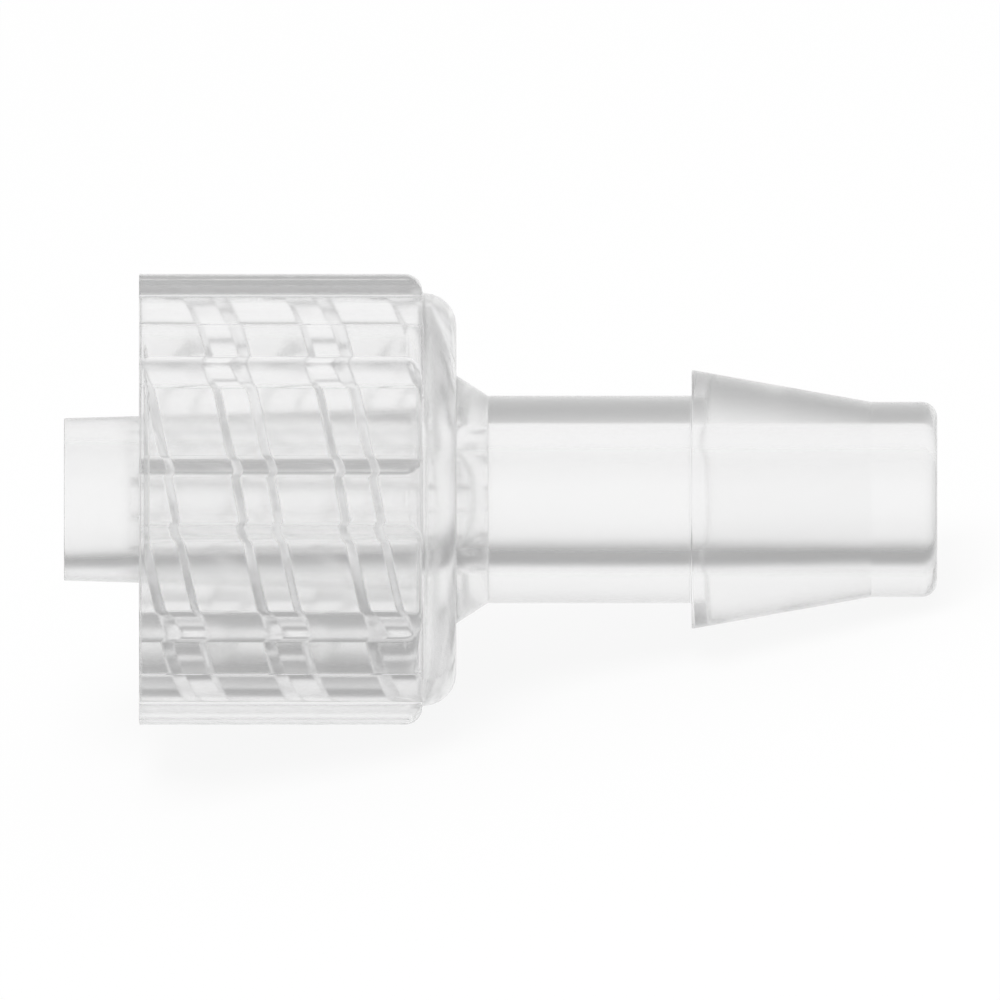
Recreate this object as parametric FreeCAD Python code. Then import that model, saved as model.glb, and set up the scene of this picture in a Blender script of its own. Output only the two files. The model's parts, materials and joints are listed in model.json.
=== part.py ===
"""Male luer lock by hose barb fitting, moulded as one piece in clear rigid plastic.

Along its own axis, from the front: a tapered male luer tip, a ribbed lock collar round the
tip with a double-start right-hand thread inside it, a closed end wall with a rounded
shoulder, a short cone, a plain stem, and a single barb with a plain nose. A flow bore runs
from end to end.

The fitting lies as it comes to rest on a table, on two neighbouring ribs and the lower edge
of its nose. The table is z = 0, and the nose points to +X. All sizes are in millimetres.
"""
import FreeCAD
import Part
import math
import os

V = FreeCAD.Vector
ORIGIN = V(0, 0, 0)
AXIS = V(1, 0, 0)

# Lengths along the axis, from the front of the tip to the end of the nose
tip_projection = 1.83
collar_depth = 6.91
end_wall = 0.83
hub_cone_length = 0.77
stem_length = 4.97
barb_length = 4.38
nose_length = 1.61

# Luer tip, with the 6 % taper of its kind
tip_diameter = 3.96
luer_taper = 0.06
tip_bore_diameter = 2.86
tip_root_round = 0.25

# Flow bore behind the tip
bore_diameter = 2.50

# Lock collar
collar_diameter = 10.07
collar_wall = 1.035
mouth_chamfer = 0.20
cavity_round = 0.15
shoulder_round = 0.80

# Grip ribs
rib_count = 8
rib_height = 0.465
rib_top_width = 1.22
rib_base_width = 2.03
rib_end_round = 0.42

# Lock thread: the offset is from the collar's face to a ridge's middle, straight below the axis
thread_starts = 2
thread_pitch = 2.50
thread_height = 0.45
thread_crest_width = 0.65
thread_flank_angle = 25.0
thread_setback = 0.25
thread_offset = 1.94

# Hub, stem and barb
hub_cone_diameter = 6.05
stem_diameter = 5.06
barb_diameter = 6.32
nose_diameter = 4.76
nose_round = 0.38

# Stations along the axis
collar_face_x = tip_projection
cavity_floor_x = collar_face_x + collar_depth
collar_back_x = cavity_floor_x + end_wall
stem_start_x = collar_back_x + hub_cone_length
barb_face_x = stem_start_x + stem_length
nose_start_x = barb_face_x + barb_length
end_x = nose_start_x + nose_length

# Radii
tip_radius = tip_diameter / 2
tip_root_radius = tip_radius + luer_taper * cavity_floor_x / 2
bore_radius = bore_diameter / 2
collar_radius = collar_diameter / 2
rib_radius = collar_radius + rib_height
thread_root_radius = collar_radius - collar_wall
thread_crest_radius = thread_root_radius - thread_height
nose_radius = nose_diameter / 2

# Advance of one start in a full turn
thread_lead = thread_pitch * thread_starts

# How deep the foot of a rib or a ridge stands in the collar's wall
rib_foot = collar_wall / 2
ridge_foot = mouth_chamfer

# Faces nearer to each other than this are taken as one where the shapes are joined
join_tolerance = 0.0001


def bend(before, corner, after, size):
    """First, middle and last point of an arc of this radius that rounds the corner."""
    back = (before - corner).normalize()
    onward = (after - corner).normalize()
    half_angle = back.getAngle(onward) / 2
    reach = size / math.tan(half_angle)
    inward = (back + onward).normalize() * (size / math.sin(half_angle) - size)
    return corner + back * reach, corner + inward, corner + onward * reach


def turned(outline):
    """Solid turned about the X axis from a closed outline of (x, radius, rounding) corners."""
    corners = [V(x, 0, radius) for x, radius, rounding in outline]
    arcs = []
    joints = []
    for i, corner in enumerate(corners):
        rounding = outline[i][2]
        joints.append((corner, corner))
        if rounding:
            first, middle, last = bend(corners[i - 1], corner, corners[(i + 1) % len(corners)], rounding)
            arcs.append(Part.Arc(first, middle, last).toShape())
            joints[i] = (first, last)
    lines = [Part.makeLine(joints[i - 1][1], joints[i][0]) for i in range(len(joints))]
    wire = Part.Wire(Part.sortEdges(lines + arcs)[0])
    return Part.Face(wire).revolve(ORIGIN, AXIS, 360)


def turned_body():
    """Everything but the ribs and the thread: tip, collar, end wall, hub, stem, barb and bore."""
    return turned([
        (0, tip_bore_diameter / 2, 0),
        (0, tip_radius, 0),
        (cavity_floor_x, tip_root_radius, tip_root_round),
        (cavity_floor_x, thread_root_radius, cavity_round),
        (collar_face_x + mouth_chamfer, thread_root_radius, 0),
        (collar_face_x, thread_root_radius + mouth_chamfer, 0),
        (collar_face_x, collar_radius, 0),
        (collar_back_x, collar_radius, shoulder_round),
        (collar_back_x, hub_cone_diameter / 2, 0),
        (stem_start_x, stem_diameter / 2, 0),
        (barb_face_x, stem_diameter / 2, 0),
        (barb_face_x, barb_diameter / 2, 0),
        (nose_start_x, nose_radius, 0),
        (end_x, nose_radius, nose_round),
        (end_x, bore_radius, 0),
        (collar_back_x, bore_radius, 0),
    ])


def rib_band():
    """Band round the collar with the ribs' height, length and rounded rear corner."""
    foot_radius = collar_radius - rib_foot
    return turned([
        (collar_face_x, foot_radius, 0),
        (collar_face_x, rib_radius, 0),
        (cavity_floor_x, rib_radius, rib_end_round),
        (cavity_floor_x, foot_radius, 0),
    ])


def rib(band, number):
    """One rib, whose sides lean towards each other. Two ribs straddle the lowest line."""
    half_top = rib_top_width / 2
    half_base = rib_base_width / 2
    top = math.sqrt(rib_radius ** 2 - half_top ** 2)
    base = math.sqrt(collar_radius ** 2 - half_base ** 2)
    side_lean = (half_base - half_top) / (top - base)
    low = base - rib_foot
    high = top + rib_height
    half_low = half_base + side_lean * rib_foot
    half_high = half_top - side_lean * rib_height
    section = Part.makePolygon([
        V(collar_face_x, -half_low, -low),
        V(collar_face_x, half_low, -low),
        V(collar_face_x, half_high, -high),
        V(collar_face_x, -half_high, -high),
        V(collar_face_x, -half_low, -low),
    ])
    bar = Part.Face(section).extrude(V(collar_depth, 0, 0))
    bar.rotate(ORIGIN, AXIS, 360 / rib_count * (number + 0.5))
    return band.common(bar)


def thread_space():
    """Where ridges may stand: from a cone behind the mouth's chamfer into the floor."""
    outer = thread_root_radius + 2 * ridge_foot
    inner = thread_crest_radius - ridge_foot
    front_x = collar_face_x + mouth_chamfer + thread_setback
    back_x = cavity_floor_x + end_wall / 4
    return turned([
        (front_x + thread_root_radius - outer, outer, 0),
        (front_x + thread_root_radius - inner, inner, 0),
        (back_x, inner, 0),
        (back_x, outer, 0),
    ])


def ridge_turn():
    """One full turn of a ridge along the X axis, from straight below it round to the same side."""
    foot_radius = thread_root_radius + ridge_foot
    half_crest = thread_crest_width / 2
    half_foot = half_crest + (thread_height + ridge_foot) * math.tan(math.radians(thread_flank_angle))
    section = Part.makePolygon([
        V(foot_radius, 0, -half_foot),
        V(thread_crest_radius, 0, -half_crest),
        V(thread_crest_radius, 0, half_crest),
        V(foot_radius, 0, half_foot),
        V(foot_radius, 0, -half_foot),
    ])
    helix = Part.makeHelix(thread_lead, thread_lead, foot_radius)
    turn = Part.Wire(helix).makePipeShell([section], True, True)
    turn.rotate(ORIGIN, V(0, 1, 0), 90)
    return turn


def ridges():
    """The thread's ridges, turn by turn, trimmed to the space they may stand in."""
    space = thread_space()
    turn = ridge_turn()
    pieces = []
    for start in range(thread_starts):
        for number in range(-2, math.ceil(collar_depth / thread_lead) + 1):
            piece = turn.copy()
            piece.translate(AXIS * (collar_face_x + thread_offset + start * thread_pitch + number * thread_lead))
            pieces.append(piece.common(space))
    return [piece for piece in pieces if piece.Solids]


def rest_tilt():
    """Angle from the axis to the line that the two lower ribs' ends and the nose stand on."""
    corner_angle = math.pi / rib_count - math.asin(rib_top_width / 2 / rib_radius)
    rib_end_x = cavity_floor_x - rib_end_round
    rib_end_drop = (rib_radius - rib_end_round) * math.cos(corner_angle)
    rib_end_radius = rib_end_round * math.cos(corner_angle)
    run = end_x - nose_round - rib_end_x
    rise = rib_end_drop - (nose_radius - nose_round)
    return math.atan2(rise, run) + math.asin((rib_end_radius - nose_round) / math.hypot(run, rise))


def fitting():
    """The whole fitting as one solid, laid on the table over the origin."""
    band = rib_band()
    ribs = [rib(band, number) for number in range(rib_count)]
    solid = turned_body().fuse(ribs + ridges(), join_tolerance).removeSplitter().Solids[0]
    solid.rotate(ORIGIN, V(0, 1, 0), math.degrees(rest_tilt()))
    box = solid.optimalBoundingBox(False, False)
    solid.translate(V(-box.Center.x, -box.Center.y, -box.ZMin))
    return solid


os.makedirs("parts", exist_ok=True)
fitting().exportStep("parts/luer_lock_fitting.step")
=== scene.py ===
"""Looks of the clear plastic luer lock fitting, lying on a pale studio floor.

The fitting is one moulded piece. Its surface is one closed skin: an outline in (x, radius)
round the whole section, carried round the axis in columns, with the grip ribs and the lock
thread as reliefs on it. Sizes are in millimetres along and about the fitting's own axis, and
become metres where the skin and the camera are placed.
"""
import json
import math
import bpy
import numpy as np
from mathutils import Matrix, Vector


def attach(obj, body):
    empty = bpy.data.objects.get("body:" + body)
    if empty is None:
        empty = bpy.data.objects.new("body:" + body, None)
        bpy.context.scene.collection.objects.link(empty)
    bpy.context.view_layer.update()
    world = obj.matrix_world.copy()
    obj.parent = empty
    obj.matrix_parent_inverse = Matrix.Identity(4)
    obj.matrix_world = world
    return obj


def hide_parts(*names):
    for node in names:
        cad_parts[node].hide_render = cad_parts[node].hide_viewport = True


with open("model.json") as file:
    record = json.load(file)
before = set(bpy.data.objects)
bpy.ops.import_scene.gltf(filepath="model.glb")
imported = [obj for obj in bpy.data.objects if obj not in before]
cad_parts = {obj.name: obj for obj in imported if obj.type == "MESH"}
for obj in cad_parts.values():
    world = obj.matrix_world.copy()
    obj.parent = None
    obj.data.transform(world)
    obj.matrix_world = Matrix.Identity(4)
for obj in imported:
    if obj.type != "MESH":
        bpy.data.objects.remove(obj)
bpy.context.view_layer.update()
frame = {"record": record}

MM = 0.001

# Places nearer to each other than this are one, and slopes are measured over this step
same_place = 0.001
slope_step = 0.00001

# Lengths along the axis, from the front of the tip to the end of the nose
tip_projection = 1.83
collar_depth = 6.91
end_wall = 0.83
hub_cone_length = 0.77
stem_length = 4.97
barb_length = 4.38
nose_length = 1.61

# Luer tip and flow bore
tip_diameter = 3.96
luer_taper = 0.06
tip_bore_diameter = 2.86
tip_root_round = 0.25
bore_diameter = 2.50

# Lock collar
collar_diameter = 10.07
collar_wall = 1.035
mouth_chamfer = 0.06
cavity_round = 0.15
shoulder_round = 0.80

# Grip ribs
rib_count = 8
rib_height = 0.465
rib_top_width = 1.22
rib_base_width = 2.03
rib_end_round = 0.42

# Lock thread: the offset is from the collar's face to a ridge's middle, straight below the axis.
# The ridges rise at the start slope from the setback behind the mouth's chamfer.
thread_starts = 2
thread_pitch = 2.50
thread_height = 0.45
thread_crest_width = 0.65
thread_flank_angle = math.radians(25)
thread_offset = 1.94
thread_setback = 0.07
thread_start_slope = 4

# Hub, stem and barb
hub_cone_diameter = 6.05
stem_diameter = 5.06
barb_diameter = 6.32
nose_diameter = 4.76
nose_round = 0.38

# How far the mould's edges are eased
edge_round = 0.03
mouth_round = 0.04
rib_edge_ease = 0.08
ridge_edge_ease = 0.05

# Columns of the skin from a rib's middle: on its top, on its side and its edges, and beyond it
columns_on_top = 4
columns_on_side = 5
columns_beyond = 4

# Rows of the skin: steps on rounded corners and plain stretches, and rows along a rib
arc_step = math.radians(15)
row_step = 2.0
rib_plain_rows = 4
rib_end_rows = 9

# Camera: the picture's width and scale, the place at its middle, how far the camera is turned up
# about the fitting's axis, and in metres how far away it is and how near it begins to see
picture_pixels = 1000
pixels_per_mm = 41.0
picture_middle_x = 10.636
picture_middle_up = -0.015
camera_rise = math.radians(22.5)
camera_distance = 0.5
camera_nearest = 0.05

# Floor: how far it reaches in metres, the light on it, the share of its white that is glow, seen
# straight and through the plastic, and how clear it is to what has passed through the plastic
floor_reach = 0.5
floor_light = 0.94
camera_glow = 0.92
through_glow = 0.25
through_share = 0.93

# Surroundings seen in the plastic: the sky and how much darker its sides are, and the ground,
# darkest round one direction as far as its core and lightening to its edge. Last, the light
# that the sky gives.
sky_level = 0.93
sky_side_drop = 0.33
ground_level = 0.42
ground_direction = (0.0, -0.243, -0.970)
ground_core = math.radians(32)
ground_edge = math.radians(66)
lit_sky_level = 0.45

# Lamp, in metres and watts, leaning towards the near side
lamp_distance = 0.4
lamp_size = 0.22
lamp_lean = math.radians(24)
lamp_power = 0.94

# Plastic: how it bends light, its uneven gloss, and the faint waves of a moulded face
plastic_ior = 1.49
smooth_roughness = 0.11
dull_roughness = 0.16
wave_length = 1.6
wave_height = 0.010

# How often light may be turned inside the plastic
path_bounces = 40

# Stations along the axis
collar_face_x = tip_projection
cavity_floor_x = collar_face_x + collar_depth
collar_back_x = cavity_floor_x + end_wall
stem_start_x = collar_back_x + hub_cone_length
barb_face_x = stem_start_x + stem_length
nose_start_x = barb_face_x + barb_length
end_x = nose_start_x + nose_length

# Radii
tip_radius = tip_diameter / 2
tip_root_radius = tip_radius + luer_taper * cavity_floor_x / 2
bore_radius = bore_diameter / 2
collar_radius = collar_diameter / 2
rib_radius = collar_radius + rib_height
thread_root_radius = collar_radius - collar_wall
nose_radius = nose_diameter / 2

# Angles of a rib's edges from its middle, and the share of the turn that is one rib's
rib_share = math.tau / rib_count
rib_top_angle = math.asin(rib_top_width / 2 / rib_radius)
rib_base_angle = math.asin(rib_base_width / 2 / collar_radius)

column_count = 2 * rib_count * (columns_on_top + columns_on_side + columns_beyond - 1)
thread_lead = thread_pitch * thread_starts
thread_row_step = thread_lead / column_count

# The fitting's own axes in the row frame: along it, to +Y, and up across it
tip_mount = next(m for m in frame["record"]["mounts"] if m["name"] == "luer_tip")
tip_end = Vector(tip_mount["pos_m"])
along = -Vector(tip_mount["axis"]).normalized()
across = Vector((0, 1, 0))
upward = along.cross(across)


def eased_corner(before, corner, after, size):
    """Points and directions on the arc of this radius that rounds a corner of the outline."""
    back = (before - corner) / np.linalg.norm(before - corner)
    onward = (after - corner) / np.linalg.norm(after - corner)
    half_angle = math.acos(np.clip(back @ onward, -1, 1)) / 2
    middle = (back + onward) / np.linalg.norm(back + onward)
    centre = corner + middle * size / math.sin(half_angle)
    start = (corner + back * size / math.tan(half_angle) - centre) / size
    turn = math.pi - 2 * half_angle
    sense = math.copysign(1, start[1] * back[0] - start[0] * back[1])
    steps = max(2, math.ceil(turn / arc_step))
    rows = []
    for step in range(steps + 1):
        angle = sense * turn * step / steps
        arm = np.array([
            start[0] * math.cos(angle) - start[1] * math.sin(angle),
            start[0] * math.sin(angle) + start[1] * math.cos(angle),
        ])
        direction = sense * np.array([-arm[1], arm[0]])
        rows.append((*(centre + arm * size), *direction))
    return rows


def outline_rows():
    """Rows (x, radius, direction x, direction radius) round the section, from the tip's bore."""
    corners = [
        (0, tip_bore_diameter / 2, edge_round),
        (0, tip_radius, edge_round),
        (cavity_floor_x, tip_root_radius, tip_root_round),
        (cavity_floor_x, thread_root_radius, cavity_round),
        (collar_face_x + mouth_chamfer, thread_root_radius, mouth_round),
        (collar_face_x, thread_root_radius + mouth_chamfer, mouth_round),
        (collar_face_x, collar_radius, edge_round),
        (collar_back_x, collar_radius, shoulder_round),
        (collar_back_x, hub_cone_diameter / 2, edge_round),
        (stem_start_x, stem_diameter / 2, edge_round),
        (barb_face_x, stem_diameter / 2, edge_round),
        (barb_face_x, barb_diameter / 2, edge_round),
        (nose_start_x, nose_radius, edge_round),
        (end_x, nose_radius, nose_round),
        (end_x, bore_radius, edge_round),
        (collar_back_x, bore_radius, edge_round),
    ]
    points = [np.array(corner[:2]) for corner in corners]
    arcs = []
    for i, corner in enumerate(corners):
        arcs.append(eased_corner(points[i - 1], points[i], points[(i + 1) % len(points)], corner[2]))
    rows = []
    for i, arc in enumerate(arcs):
        rows += arc
        rows += rows_between(np.array(arc[-1]), np.array(arcs[(i + 1) % len(arcs)][0]))
    return np.array(rows)


def runs_at(radius, first, last):
    """Whether the stretch from the first row to the last runs at this radius."""
    return max(abs(first[1] - radius), abs(last[1] - radius)) < same_place


def rows_between(first, last):
    """Rows along a straight stretch: close on the threaded wall and over the ribs' ends."""
    length = np.linalg.norm(last[:2] - first[:2])
    if runs_at(thread_root_radius, first, last):
        shares = np.arange(1, math.floor(length / thread_row_step) + 1) * thread_row_step / length
    elif runs_at(collar_radius, first, last):
        shares = (rib_stations() - first[0]) / length
    else:
        count = math.ceil(length / row_step)
        shares = np.arange(1, count) / count
    return [first + (last - first) * share for share in shares if 0 < share < 1]


def rib_stations():
    """Places along the axis for the rows on the ribs: few on the plain part, close at the end."""
    round_start = cavity_floor_x - rib_end_round
    plain = np.linspace(collar_face_x, round_start, rib_plain_rows + 2)[1:-1]
    rear_end = round_start + rib_end_round * np.sin(np.linspace(0, math.pi / 2, rib_end_rows))
    return np.concatenate([plain, rear_end, [cavity_floor_x + edge_round]])


def soft_least(a, b, ease):
    """The lesser of two heights, with the corner between them eased."""
    near = np.maximum(ease - np.abs(a - b), 0)
    return np.minimum(a, b) - near ** 2 / (4 * ease)


def rib_relief(x, angle):
    """Height of the ribs above the collar. Their sides lean, and their rear ends are rounded."""
    from_middle = np.abs((angle + math.pi / 2) % rib_share - rib_share / 2)
    top = rib_radius * math.cos(rib_top_angle)
    base = collar_radius * math.cos(rib_base_angle)
    lean = (rib_base_width - rib_top_width) / 2 / (top - base)
    side_radius = (rib_base_width / 2 + lean * base) / (np.sin(from_middle) + lean * np.cos(from_middle))
    past_round = np.clip(x - (cavity_floor_x - rib_end_round), 0, rib_end_round)
    end_radius = rib_radius - rib_end_round + np.sqrt(rib_end_round ** 2 - past_round ** 2)
    end_radius = np.where(x > cavity_floor_x, collar_radius - rib_edge_ease, end_radius)
    height = soft_least(side_radius, end_radius, rib_edge_ease) - collar_radius
    return -soft_least(-height, 0, rib_edge_ease)


def ridge_relief(x, angle):
    """Height of the thread's ridges above the collar's inner wall, with a steep start."""
    middle = collar_face_x + thread_offset + thread_lead * (angle + math.pi / 2) / math.tau
    from_middle = np.abs((x - middle + thread_pitch / 2) % thread_pitch - thread_pitch / 2)
    slope = 1 / math.tan(thread_flank_angle)
    flank = thread_height - (from_middle - thread_crest_width / 2) * slope
    start = thread_start_slope * (x - (collar_face_x + mouth_chamfer + thread_setback))
    height = soft_least(soft_least(flank, thread_height, ridge_edge_ease), start, ridge_edge_ease)
    return -soft_least(-height, 0, ridge_edge_ease)


def relief(x, radius, angle):
    """How far the skin stands out of the turned outline, over the whole section."""
    rib_start = thread_root_radius + mouth_chamfer
    ridge_end = tip_root_radius + tip_root_round
    rib_part = np.clip((radius - rib_start) / (collar_radius - rib_start), 0, 1)
    ridge_part = np.clip((radius - ridge_end) / (thread_root_radius - cavity_round - ridge_end), 0, 1)
    in_cavity = (radius < thread_root_radius + same_place) & (x < cavity_floor_x + same_place)
    ribs = rib_part * rib_relief(x, angle)
    ridges = np.where(in_cavity, ridge_part * ridge_relief(x, angle), 0)
    return ribs - ridges


def column_angles(rows):
    """Angle of every column in every row: even, but gathered at the ribs' edges on the collar."""
    soft = rib_edge_ease / rib_height * (rib_base_angle - rib_top_angle)
    side_middle = (rib_top_angle + rib_base_angle) / 2
    gathered = np.concatenate([
        np.linspace(0, rib_top_angle - soft, columns_on_top),
        [rib_top_angle, rib_top_angle + soft, side_middle, rib_base_angle - soft, rib_base_angle],
        np.linspace(rib_base_angle + soft, rib_share / 2, columns_beyond),
    ])
    even = np.linspace(0, rib_share / 2, len(gathered))
    one_rib = np.concatenate([(gathered - even)[:-1], (even - gathered)[:0:-1]])
    shift = np.tile(one_rib, rib_count)
    columns = np.arange(column_count) / column_count * math.tau - math.pi / 2 + rib_share / 2
    face_start = thread_root_radius + mouth_chamfer
    share = np.clip((rows[:, 1] - face_start) / (collar_radius - edge_round - face_start), 0, 1)
    share[rows[:, 0] > collar_back_x] = 0
    return columns[None, :] + share[:, None] * shift[None, :]


def skin():
    """Vertices in metres, their normals, and the faces of the fitting's closed skin."""
    rows = outline_rows()
    angle = column_angles(rows)
    x, radius, dir_x, dir_radius = rows.T[:, :, None]
    ahead = relief(x + slope_step * dir_x, radius + slope_step * dir_radius, angle)
    behind = relief(x - slope_step * dir_x, radius - slope_step * dir_radius, angle)
    after = relief(x, radius, angle + slope_step)
    before = relief(x, radius, angle - slope_step)
    along_row = dir_radius + (ahead - behind) / (2 * slope_step)
    round_row = (after - before) / (2 * slope_step)
    full = radius + relief(x, radius, angle)
    to_x = -along_row * full
    to_radius = dir_x * full
    to_side = -dir_x * round_row
    points = own_to_frame(x, full * np.cos(angle), full * np.sin(angle)) * MM + np.array(tip_end)
    normals = own_to_frame(
        to_x,
        to_radius * np.cos(angle) - to_side * np.sin(angle),
        to_radius * np.sin(angle) + to_side * np.cos(angle),
    )
    normals /= np.linalg.norm(normals, axis=-1, keepdims=True)
    return points.reshape(-1, 3), normals.reshape(-1, 3), skin_faces(rows)


def own_to_frame(x, y, z):
    """Vectors along the fitting's own axes, turned into the row frame."""
    axes = [np.array(axis) for axis in (along, across, upward)]
    return sum(part[..., None] * axis for part, axis in zip(np.broadcast_arrays(x, y, z), axes))


def skin_faces(rows):
    """Quads between the rows. On the threaded wall they are split along the ridges."""
    faces = []
    for i in range(len(rows)):
        after = (i + 1) % len(rows)
        on_wall = runs_at(thread_root_radius, rows[i], rows[after])
        for j in range(column_count):
            beside = (j + 1) % column_count
            a = i * column_count + j
            b = i * column_count + beside
            c = after * column_count + beside
            d = after * column_count + j
            faces += [(a, b, d), (b, c, d)] if on_wall else [(a, b, c, d)]
    return faces


def clear_plastic():
    """Clear moulded plastic, with an uneven gloss and faint waves in its faces."""
    material = bpy.data.materials.new("clear_plastic")
    material.use_nodes = True
    nodes = material.node_tree.nodes
    links = material.node_tree.links
    shader = nodes["Principled BSDF"]
    shader.inputs["Base Color"].default_value = (1, 1, 1, 1)
    shader.inputs["Transmission Weight"].default_value = 1
    shader.inputs["IOR"].default_value = plastic_ior
    place = nodes.new("ShaderNodeTexCoord")
    unevenness = nodes.new("ShaderNodeTexNoise")
    unevenness.inputs["Scale"].default_value = 1 / (wave_length * MM)
    unevenness.inputs["Detail"].default_value = 1
    links.new(place.outputs["Object"], unevenness.inputs["Vector"])
    gloss = nodes.new("ShaderNodeMapRange")
    gloss.inputs["To Min"].default_value = smooth_roughness
    gloss.inputs["To Max"].default_value = dull_roughness
    links.new(unevenness.outputs["Fac"], gloss.inputs["Value"])
    links.new(gloss.outputs["Result"], shader.inputs["Roughness"])
    waves = nodes.new("ShaderNodeBump")
    waves.inputs["Distance"].default_value = wave_height * MM
    links.new(unevenness.outputs["Fac"], waves.inputs["Height"])
    links.new(waves.outputs["Normal"], shader.inputs["Normal"])
    return material


def build_fitting():
    """The fitting, in place of its plain solid."""
    points, normals, faces = skin()
    mesh = bpy.data.meshes.new("fitting_skin")
    mesh.from_pydata(points.tolist(), [], faces)
    mesh.shade_smooth()
    mesh.normals_split_custom_set_from_vertices(normals.tolist())
    mesh.materials.append(clear_plastic())
    fitting = bpy.data.objects.new("fitting", mesh)
    bpy.context.scene.collection.objects.link(fitting)
    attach(fitting, "root")
    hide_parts("luer_lock_fitting")


def build_floor():
    """A plain square floor."""
    mesh = bpy.data.meshes.new("floor")
    corners = [(x * floor_reach, y * floor_reach, 0) for x, y in ((-1, -1), (1, -1), (1, 1), (-1, 1))]
    mesh.from_pydata(corners, [], [(0, 1, 2, 3)])
    mesh.materials.append(floor_white())
    floor = bpy.data.objects.new("floor", mesh)
    bpy.context.scene.collection.objects.link(floor)


def floor_white():
    """Plain white that keeps part of the fitting's shadow, mostly clear to rays turned by it."""
    material = bpy.data.materials.new("floor_white")
    material.use_nodes = True
    nodes = material.node_tree.nodes
    links = material.node_tree.links
    nodes.remove(nodes["Principled BSDF"])
    light_path = nodes.new("ShaderNodeLightPath")
    through = nodes.new("ShaderNodeMixShader")
    through.inputs[0].default_value = through_share
    links.new(part_glowing(nodes, links, through_glow), through.inputs[1])
    links.new(nodes.new("ShaderNodeBsdfTransparent").outputs[0], through.inputs[2])
    plain = part_glowing(nodes, links, 0)
    direct = part_glowing(nodes, links, camera_glow)
    last = blend_shaders(nodes, links, seen_rays(nodes, links, light_path), plain, through.outputs[0])
    last = blend_shaders(nodes, links, light_path.outputs["Is Camera Ray"], last, direct)
    links.new(last, nodes["Material Output"].inputs["Surface"])
    return material


def part_glowing(nodes, links, glow_level):
    """White that is part glow and part lit, so that a share of the shadow stays in it."""
    diffuse = nodes.new("ShaderNodeBsdfDiffuse")
    diffuse.inputs["Color"].default_value = [(1 - glow_level) / floor_light] * 3 + [1]
    glow = nodes.new("ShaderNodeEmission")
    glow.inputs["Strength"].default_value = glow_level
    both = nodes.new("ShaderNodeAddShader")
    links.new(diffuse.outputs[0], both.inputs[0])
    links.new(glow.outputs[0], both.inputs[1])
    return both.outputs[0]


def blend_shaders(nodes, links, share, first, second):
    """The first shader where the share is 0, and the second where it is 1."""
    blend = nodes.new("ShaderNodeMixShader")
    links.new(share, blend.inputs[0])
    links.new(first, blend.inputs[1])
    links.new(second, blend.inputs[2])
    return blend.outputs[0]


def seen_rays(nodes, links, light_path):
    """1 for what the camera sees, straight, mirrored or through the plastic, and 0 elsewhere."""
    total = light_path.outputs["Is Camera Ray"]
    for name in ("Is Glossy Ray", "Is Transmission Ray"):
        either = nodes.new("ShaderNodeMath")
        either.operation = "MAXIMUM"
        links.new(total, either.inputs[0])
        links.new(light_path.outputs[name], either.inputs[1])
        total = either.outputs[0]
    return total


def surroundings_level(nodes, links):
    """How light the surroundings are in a direction: the sky, its darker sides and the ground."""
    place = nodes.new("ShaderNodeTexCoord")
    towards = nodes.new("ShaderNodeVectorMath")
    towards.operation = "DOT_PRODUCT"
    towards.inputs[1].default_value = ground_direction
    links.new(place.outputs["Generated"], towards.inputs[0])
    parts = nodes.new("ShaderNodeSeparateXYZ")
    links.new(place.outputs["Generated"], parts.inputs[0])
    aside = nodes.new("ShaderNodeMath")
    aside.operation = "POWER"
    aside.inputs[1].default_value = 2
    links.new(parts.outputs["X"], aside.inputs[0])
    sky = nodes.new("ShaderNodeMath")
    sky.operation = "MULTIPLY_ADD"
    sky.inputs[1].default_value = -sky_side_drop
    sky.inputs[2].default_value = sky_level
    links.new(aside.outputs[0], sky.inputs[0])
    level = nodes.new("ShaderNodeMapRange")
    level.interpolation_type = "SMOOTHSTEP"
    level.inputs["From Min"].default_value = math.cos(ground_edge)
    level.inputs["From Max"].default_value = math.cos(ground_core)
    level.inputs["To Max"].default_value = ground_level
    links.new(sky.outputs[0], level.inputs["To Min"])
    links.new(towards.outputs["Value"], level.inputs["Value"])
    return level.outputs["Result"]


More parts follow.
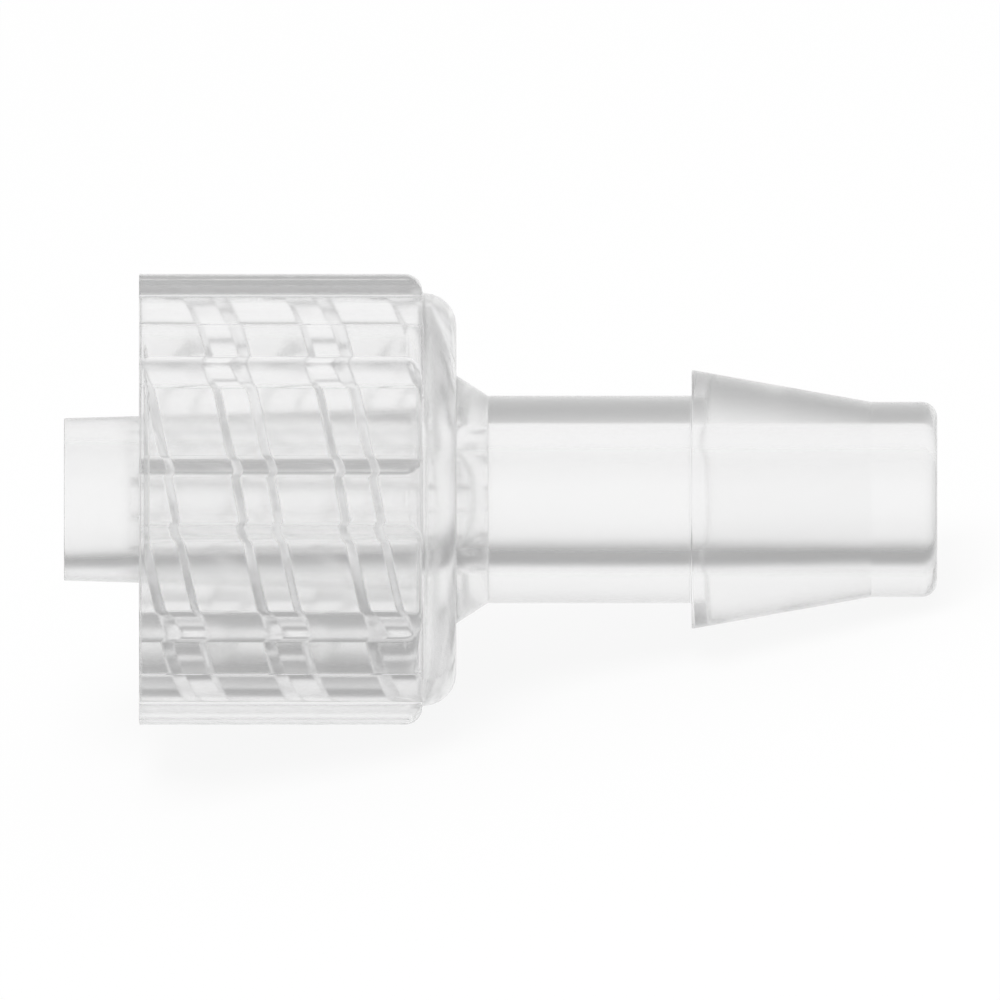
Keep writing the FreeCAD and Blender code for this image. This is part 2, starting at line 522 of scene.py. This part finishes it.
def build_world():
    """White where it is seen straight on, and the surroundings where it is seen in the plastic."""
    world = bpy.data.worlds.new("studio")
    bpy.context.scene.world = world
    world.use_nodes = True
    nodes = world.node_tree.nodes
    links = world.node_tree.links
    light_path = nodes.new("ShaderNodeLightPath")
    seen = nodes.new("ShaderNodeMix")
    links.new(seen_rays(nodes, links, light_path), seen.inputs["Factor"])
    seen.inputs["A"].default_value = lit_sky_level
    links.new(surroundings_level(nodes, links), seen.inputs["B"])
    shown = nodes.new("ShaderNodeMix")
    links.new(light_path.outputs["Is Camera Ray"], shown.inputs["Factor"])
    links.new(seen.outputs["Result"], shown.inputs["A"])
    shown.inputs["B"].default_value = 1
    background = nodes["Background"]
    background.inputs["Color"].default_value = (1, 1, 1, 1)
    links.new(shown.outputs["Result"], background.inputs["Strength"])


def build_lamp():
    """A soft lamp above and a little in front. Mirrored and refracted rays see the sky alone."""
    data = bpy.data.lights.new("lamp", "AREA")
    data.shape = "DISK"
    data.size = lamp_size
    data.energy = lamp_power
    lamp = bpy.data.objects.new("lamp", data)
    lamp.location = (0, -lamp_distance * math.sin(lamp_lean), lamp_distance * math.cos(lamp_lean))
    lamp.rotation_euler = (lamp_lean, 0, 0)
    lamp.visible_glossy = False
    lamp.visible_transmission = False
    lamp.visible_camera = False
    bpy.context.scene.collection.objects.link(lamp)


def build_camera():
    """A view straight across the axis, from in front and above, at the picture's scale."""
    data = bpy.data.cameras.new("camera")
    data.type = "ORTHO"
    data.ortho_scale = picture_pixels / pixels_per_mm * MM
    data.clip_start = camera_nearest
    towards_camera = upward * math.sin(camera_rise) - across * math.cos(camera_rise)
    up = towards_camera.cross(along)
    target = tip_end + (along * picture_middle_x + up * picture_middle_up) * MM
    camera = bpy.data.objects.new("camera", data)
    turn = Matrix((along, up, towards_camera)).transposed()
    camera.matrix_world = Matrix.Translation(target + towards_camera * camera_distance) @ turn.to_4x4()
    bpy.context.scene.collection.objects.link(camera)
    bpy.context.scene.camera = camera


scene = bpy.context.scene
scene.view_settings.view_transform = "Standard"
scene.cycles.max_bounces = path_bounces
scene.cycles.glossy_bounces = path_bounces
scene.cycles.transmission_bounces = path_bounces
scene.cycles.caustics_refractive = False
scene.cycles.caustics_reflective = False
build_fitting()
build_floor()
build_world()
build_lamp()
build_camera()

bpy.context.view_layer.update()
